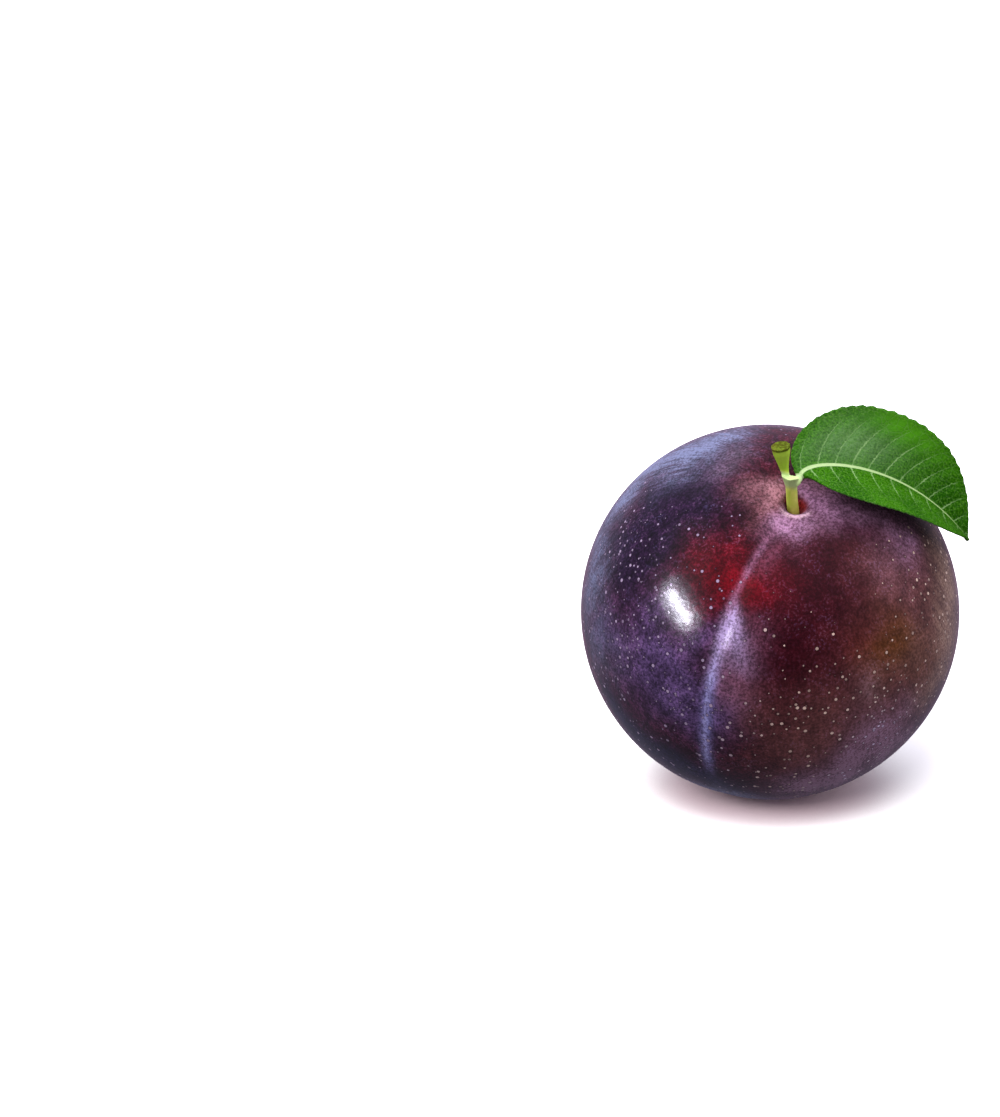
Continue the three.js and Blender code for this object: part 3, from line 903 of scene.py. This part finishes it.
# Noises over the blade laid flat: cells to the millimetre, octaves and how rough they are
LEAF_FINE = (2.2, 3.0, 0.6)
LEAF_GRAIN = (2.8, 3.0, 0.7)
NET_CELLS = 0.9
LINE_PITCH = 3.2  # between side veins, about the same in both halves
VEIN_LINE = (0.14, 0.045)  # half width at the midrib and near the margin
RIB_LINE = (0.34, 0.12)  # half width at the base and near the tip
LEAF_ROUGHNESS = (0.4, 0.6)
LEAF_BUMP = (0.7, 0.00012)


def blade_half_width(share):
    before = np.clip(1 - share / BLADE_WIDEST, 0, 1)
    base = np.maximum(BASE_HALF_WIDTH, BLADE_HALF_WIDTH * (1 - before**2) ** (1 / BASE_ROUNDNESS))
    past = np.clip((share - BLADE_WIDEST) / (1 - BLADE_WIDEST), 0, 1)
    tip = np.maximum(TIP_HALF_WIDTH, BLADE_HALF_WIDTH * (1 - past**TIP_FULLNESS) ** TIP_SHARPNESS)
    return np.where(share < BLADE_WIDEST, base, tip)


def midrib_line():
    t = np.linspace(0, 1, 2000)[:, None]
    a, b, c, d = (np.array(p) for p in MIDRIB)
    return (1 - t) ** 3 * a + 3 * (1 - t) ** 2 * t * b + 3 * (1 - t) * t**2 * c + t**3 * d


def blade_frames(share):
    """Origins on the midrib, and the blade's directions there: up from it and across it to the back."""
    dense = midrib_line()
    origin = evenly(dense, share)
    along = unit(evenly(dense, np.minimum(share + 1e-3, 1)) - evenly(dense, np.maximum(share - 1e-3, 0)))
    level = unit(UP - along * along[:, 2:])
    angle = -part_way(BLADE_ROLL, share)[:, None]
    up = level * np.cos(angle) + np.cross(along, level) * np.sin(angle)
    return origin, up, np.cross(up, along)


def vein_phase(half, share, out, length):
    """A whole number on each side vein."""
    first, pitch, slant, curve = VEINS[half]
    forward = out * (slant + curve * out / BLADE_HALF_WIDTH)
    return (share * length - forward - first) / pitch


def tooth_height(step, share):
    phase = (step / STEPS_IN_TOOTH) % 1
    rise = np.minimum(phase / TOOTH_LEAN, (1 - phase) / (1 - TOOTH_LEAN))
    number = np.floor(step / STEPS_IN_TOOTH)
    uneven = 1 + 0.25 * np.sin(2.3 * number) + 0.15 * np.sin(5.1 * number + 1)
    return TOOTH_DEPTH * rise**0.9 * uneven * np.sqrt(np.maximum(np.sin(np.pi * share), 0))


def blade_face(share, width, half, columns, length, upper):
    """Points of one face of one half, and their distance out from the midrib, as rings by columns."""
    origin, up, across = (v[:, None, :] for v in blade_frames(share))
    out = width[:, None] * columns[None, :]
    fold = part_way(BLADE_FOLD, share)[:, None]
    slope = fold + out / CURL_RADIUS
    phase = vein_phase(half, share[:, None], out, length)
    on_vein = np.abs(phase - np.round(phase)) * VEINS[half][1]
    swell = 4 * PUCKER * columns * (1 - columns) * np.sin(np.pi * phase) ** 2
    vein = bell(on_vein, 0, VEIN_HALF_WIDTH) * smooth(out, 0.1, 0.6) * (1 - columns) ** 0.6
    rib_width = RIB_HALF_WIDTH * (1.15 - 0.7 * share[:, None])
    rib = (1 - RIB_TAPER * share[:, None]) * bell(out, 0, rib_width)
    thickness = BLADE_THICKNESS + (MARGIN_THICKNESS - BLADE_THICKNESS) * columns
    below = thickness + RIB_BELOW * rib + VEIN_BELOW * vein
    offset = RIB_ABOVE * rib + VEIN_ABOVE * vein if upper else -below
    side = half * CURL_RADIUS * (np.sin(slope) - np.sin(fold))
    lift = CURL_RADIUS * (np.cos(fold) - np.cos(slope)) + swell
    lean = slope * smooth(out, 0, 0.8)
    points = (
        origin
        + (side - half * offset * np.sin(lean))[..., None] * across
        + (lift + offset * np.cos(lean))[..., None] * up
    )
    return points, phase, out


def join_halves(back, front, upper):
    """Runs over the blade: the upper face from the back margin to the front, the lower face back again."""
    over = np.concatenate([back[:, ::-1], front[:, 1:]], axis=1)
    return over if upper else over[:, ::-1]


def leaf_margin():
    """Shares of the midrib where the blade's rings lie, and its half width there with the teeth."""
    steps = np.arange(TEETH * STEPS_IN_TOOTH + 1)
    share = crowded(steps / steps[-1], TEETH_CROWDING)
    return share, blade_half_width(share) + tooth_height(steps, share)


def blade_rings(share, width, length):
    """Rings of points over and under the blade, and each point's place between side veins, its distance out
    and 1 where it is on the underside."""
    columns = np.linspace(0, 1, BLADE_COLUMNS + 1) ** 1.25
    faces = []
    for upper in (True, False):
        back, front = (blade_face(share, width, half, columns, length, upper) for half in (1, -1))
        joined = [join_halves(b, f, upper) for b, f in zip(back, front)]
        faces.append([*joined, np.full(joined[1].shape, 0.0 if upper else 1.0)])
    return [np.concatenate(pair, axis=1) for pair in zip(*faces)]


def make_leaf():
    length = np.linalg.norm(np.diff(midrib_line(), axis=0), axis=1).sum()
    share, width = leaf_margin()
    blade, *marks = blade_rings(share, width, length)
    rings = np.concatenate([petiole_rings(blade.shape[1]), blade])
    leaf = closed_rings("plum_leaf", rings)
    mark_leaf(leaf, share, width, length, *marks)
    dress(leaf, "leaf", leaf_material())


def with_petiole(grid, value=0.0):
    """One number for each point of the petiole's rings and the blade's."""
    return np.vstack([np.full((PETIOLE_RINGS, grid.shape[1]), value), grid]).ravel()


def mark_leaf(leaf, share, width, length, phase, out, under):
    """Keeps what the leaf's material reads, for each ring and then for the middles of the two ends."""
    signs = side_signs(out.shape[1])
    shares = np.repeat(np.append(np.zeros(PETIOLE_RINGS), share), len(signs))
    margins = with_petiole(out / width[:, None])
    back = np.tile(np.maximum(signs, 0), PETIOLE_RINGS + len(share)) * (1 - with_petiole(under))
    marks = {
        "vein_phase": (with_petiole(phase, 0.5), 0.5),
        "out": (with_petiole(out), 0.0),
        "under": (with_petiole(under), 0.0),
        "share": (shares, 1.0),
        "margin": (margins, 0.0),
        "haze": (back * bell(margins, *PAINTED_SHEEN_PATCH[0]) * bell(shares, *PAINTED_SHEEN_PATCH[1]), 0.0),
        "lush": (back * bell(margins, *LUSH_PATCH[0]) * bell(shares, *LUSH_PATCH[1]), 0.0),
    }
    for name, (values, at_tip) in marks.items():
        set_values(leaf, name, np.append(values, [0.0, at_tip]))
    sheet = np.stack([shares * length, with_petiole(out * signs), np.zeros(len(shares))], -1)
    set_values(leaf, "sheet", np.vstack([sheet, [0, 0, 0], [length, 0, 0]]))


def side_signs(around):
    """+1 on the back half and -1 on the front half, round one ring."""
    half = around // 2
    over = np.sign((half - 1) / 2 - np.arange(half))
    return np.append(over, over[::-1])


def petiole_rings(around):
    """Round rings along the petiole, in step with the blade's."""
    centres = smooth_line(PETIOLE_LINE, PETIOLE_RINGS)
    _, up, across = (v[0] for v in blade_frames(np.array([0.0])))
    half = around // 2
    spread = np.linspace(0.04, 0.96, half) * np.pi
    angle = np.append(spread, spread + np.pi)
    circle = np.cos(angle)[:, None] * across + np.sin(angle)[:, None] * up
    return centres[:, None, :] + PETIOLE_RADIUS * circle[None]


def blade_green(s, fine, grain):
    patchy = s.noise(s.place(), 160.0, 3.0)
    colour = s.mix(s.span(patchy, 0.35, 0.65), *BLADE_GREENS)
    colour = s.mix(s.span(grain, 0.36, 0.5, 0.9, 0.0), colour, MESH_DARK)
    colour = s.mix(s.span(grain, 0.52, 0.64, 0.0, 0.8), colour, MESH_LIGHT)
    # Painted sheen, grey-green, on the back half's upper side
    colour = s.mix(s.times(s.stored("haze"), s.span(fine, *NOISE_BAND, 0.3, 0.75)), colour, PAINTED_SHEEN_GREEN)
    colour = s.mix(s.times(s.stored("lush"), 0.8), colour, LUSH_GREEN)
    return s.mix(s.times(s.stored("under"), 0.75), colour, UNDER_GREEN)


def side_vein_lines(s, sheet, fine, out, margin):
    """1 on the side veins, which are finer towards the margin, broken here and there and short in front."""
    wavy = s.plus(s.stored("vein_phase"), s.span(fine, 0.2, 0.8, -0.05, 0.05))
    near_vein = s.times(s.math("PINGPONG", wavy, 0.5), LINE_PITCH)
    width = s.span(margin, 0.0, 0.95, *VEIN_LINE)
    vein = s.span(s.math("DIVIDE", near_vein, width), 0.4, 1.3, 1.0, 0.0)
    front = s.span(s.node("ShaderNodeSeparateXYZ", Vector=sheet).outputs["Y"], -0.2, 0.0, 0.8, 0.0)
    short = s.plus(s.times(front, s.span(margin, 0.15, 0.6, 0.0, -1.0)), 1.0)
    vein = s.times(vein, short, s.span(margin, 0.5, 0.95, 1.0, 0.0), s.span(out, 0.05, 0.4))
    return s.times(vein, s.span(s.noise(sheet, 0.3), 0.35, 0.6, 0.35, 1.0))


def leaf_material():
    s = Shader("plum_leaf")
    sheet = s.stored("sheet", "Vector")
    fine = s.noise(sheet, *LEAF_FINE)
    grain = s.noise(sheet, *LEAF_GRAIN)
    out, share = s.stored("out"), s.stored("share")
    vein = side_vein_lines(s, sheet, fine, out, s.stored("margin"))
    cells = s.node("ShaderNodeTexVoronoi", {"feature": "DISTANCE_TO_EDGE"}, Vector=sheet, Scale=NET_CELLS)
    net = s.span(cells.outputs["Distance"], 0.0, 0.06, 1.0, 0.0)
    rib_width = s.span(share, 0.0, 0.95, *RIB_LINE)
    rib = s.span(s.math("DIVIDE", out, rib_width), 0.6, 1.2, 1.0, 0.0)
    rib = s.times(rib, s.span(share, 0.8, 0.97, 1.0, 0.2))
    colour = s.mix(s.times(net, 0.3), blade_green(s, fine, grain), NET_GREEN)
    colour = s.mix(s.times(vein, 0.85), colour, VEIN_GREEN)
    colour = s.mix(s.times(rib, 0.9), colour, s.mix(share, *RIB_GREENS))
    relief = s.plus(s.times(fine, 0.5), s.times(grain, 0.6), s.times(net, -0.3))
    return s.finish(
        Base_Color=colour,
        Roughness=s.span(fine, *NOISE_BAND, *LEAF_ROUGHNESS),
        **GREEN_GLOSS,
        Normal=s.bump(relief, *LEAF_BUMP),
    )


# ---- Stage ----

FLOOR_REACH = 6.0  # metres
FLOOR_WHITES = ((0.65, 0.63, 0.61), (0.68, 0.66, 0.64))
SHADE_REACH = 0.05  # metres from the floor within which things shade it
# Colours of the painted shadow on the floor
SHADES = ((0.85, 0.66, 0.68), (0.45, 0.345, 0.365))  # right under the fruit, and further out
BACKDROP_REACH = 3.0
BACKDROP_HEIGHT = 2.5
BACKDROP_SIDES = 64
SKY_BELOW, SKY_ABOVE = 0.3, 3.2  # brightness of the studio below the horizon and overhead
SKY_COLOUR = (0.94, 0.94, 1.07, 1)
LIGHT_DISTANCE = 1.1
# Two soft suns
SIDE_SUN = {"towards": (-0.75, -0.3, 0.6), "energy": 0.9, "angle": 50 * DEG}
GROUND_SUN = {"towards": (-0.4, -1.0, 1.2), "energy": 5.5, "angle": 45 * DEG}
WINDOW_TOWARDS = (-0.796, -0.558, 0.23)
WINDOW_TURN = 62 * DEG
WINDOW_SIZE = (0.11, 0.5)
WINDOW_POWER = 132.0
WINDOW_COLOUR = (0.87, 0.87, 1.0)
GLOW_SIZE = (0.3, 0.7)
GLOW_POWER = 23.0
GLOW_COLOUR = (0.85, 0.72, 1.0)


def make_floor():
    mesh = bpy.data.meshes.new("floor")
    corners = [(x * FLOOR_REACH, y * FLOOR_REACH, 0) for x, y in ((-1, -1), (1, -1), (1, 1), (-1, 1))]
    mesh.from_pydata(corners, [], [(0, 1, 2, 3)])
    floor = add_object("floor", mesh)
    floor.visible_diffuse = False
    floor.visible_glossy = False
    s = Shader("floor_white")
    cloudy = s.span(s.noise(s.place(), 3.0), *NOISE_BAND)
    # Painted shadow: the floor's colour turns pink and darker where the fruit hides the sky close round it,
    # lighter again right under it
    open_sky = s.node("ShaderNodeAmbientOcclusion", Distance=SHADE_REACH).outputs["AO"]
    shaded = s.mix(s.span(open_sky, 0.0, 0.35), *SHADES)
    colour = s.mix(s.span(open_sky, 0.2, 0.51), shaded, s.mix(cloudy, *FLOOR_WHITES))
    mesh.materials.append(s.finish(Base_Color=colour, Roughness=1.0, Specular_IOR_Level=0.0))


def make_backdrop():
    """A white light box all round, which only the camera sees."""
    angle = 2 * np.pi * np.arange(BACKDROP_SIDES) / BACKDROP_SIDES
    foot = np.stack([np.cos(angle), np.sin(angle), 0 * angle], -1) * BACKDROP_REACH
    after = (np.arange(BACKDROP_SIDES) + 1) % BACKDROP_SIDES
    faces = [(int(a), i, BACKDROP_SIDES + i, BACKDROP_SIDES + int(a)) for i, a in enumerate(after)]
    mesh = bpy.data.meshes.new("backdrop")
    mesh.from_pydata(np.vstack([foot, foot + BACKDROP_HEIGHT * UP]), [], faces)
    backdrop = add_object("backdrop", mesh)
    for rays in ("diffuse", "glossy", "shadow"):
        setattr(backdrop, "visible_" + rays, False)
    s = Shader("backdrop_white")
    glow = s.mix(s.noise(s.place(), 0.5), (1.0, 1.0, 1.0), (1.04, 1.04, 1.04))
    mesh.materials.append(s.finish(Base_Color=(0, 0, 0), Emission_Color=glow, Emission_Strength=1.0))
    s.material.cycles.emission_sampling = "NONE"


def make_light(name, kind, towards, **settings):
    """A light that shines on the fruit's middle from the side that towards points to."""
    data = bpy.data.lights.new(name, kind)
    for key, value in settings.items():
        setattr(data, key, value)
    light = add_object(name, data)
    light.location = Vector(towards).normalized() * LIGHT_DISTANCE + Vector((0, 0, MIDDLE_HEIGHT * MM))
    light.rotation_euler = Vector(towards).to_track_quat("Z", "Y").to_euler()
    return light


def make_sky():
    """Soft white light, strongest from straight above."""
    world = bpy.data.worlds.new("studio")
    world.use_nodes = True
    nodes, links = world.node_tree.nodes, world.node_tree.links
    towards = nodes.new("ShaderNodeTexCoord").outputs["Generated"]
    split = nodes.new("ShaderNodeSeparateXYZ")
    rise = nodes.new("ShaderNodeMapRange")
    rise.interpolation_type = "SMOOTHSTEP"
    set_span(rise, -0.1, 1.0, SKY_BELOW, SKY_ABOVE)
    background = nodes["Background"]
    background.inputs["Color"].default_value = SKY_COLOUR
    links.new(towards, split.inputs[0])
    links.new(split.outputs["Z"], rise.inputs["Value"])
    links.new(rise.outputs["Result"], background.inputs["Strength"])
    bpy.context.scene.world = world


def light_only(light, piece):
    lit = bpy.data.collections.new(light.name + "_lights")
    lit.objects.link(bpy.data.objects[piece])
    light.light_linking.receiver_collection = lit


def make_window(name, size, power, colour):
    """A tall window that only the fruit's gloss shows."""
    shape = {"shape": "RECTANGLE", "size": size[0], "size_y": size[1]}
    light = make_light(name, "AREA", WINDOW_TOWARDS, energy=power, **shape)
    light.data.color = colour
    light.rotation_euler.rotate_axis("Z", WINDOW_TURN)
    light.visible_diffuse = False
    light_only(light, "plum_fruit")


def make_studio():
    make_sky()
    make_light("side", "SUN", **SIDE_SUN)
    light_only(make_light("ground", "SUN", **GROUND_SUN), "floor")
    make_window("window", WINDOW_SIZE, WINDOW_POWER, WINDOW_COLOUR)
    make_window("window_glow", GLOW_SIZE, GLOW_POWER, GLOW_COLOUR)
    view = bpy.context.scene.view_settings
    view.view_transform = "Standard"
    view.look = "None"


def main():
    make_camera()
    make_fruit()
    make_stalk()
    make_leaf()
    make_floor()
    make_backdrop()
    make_studio()


main()
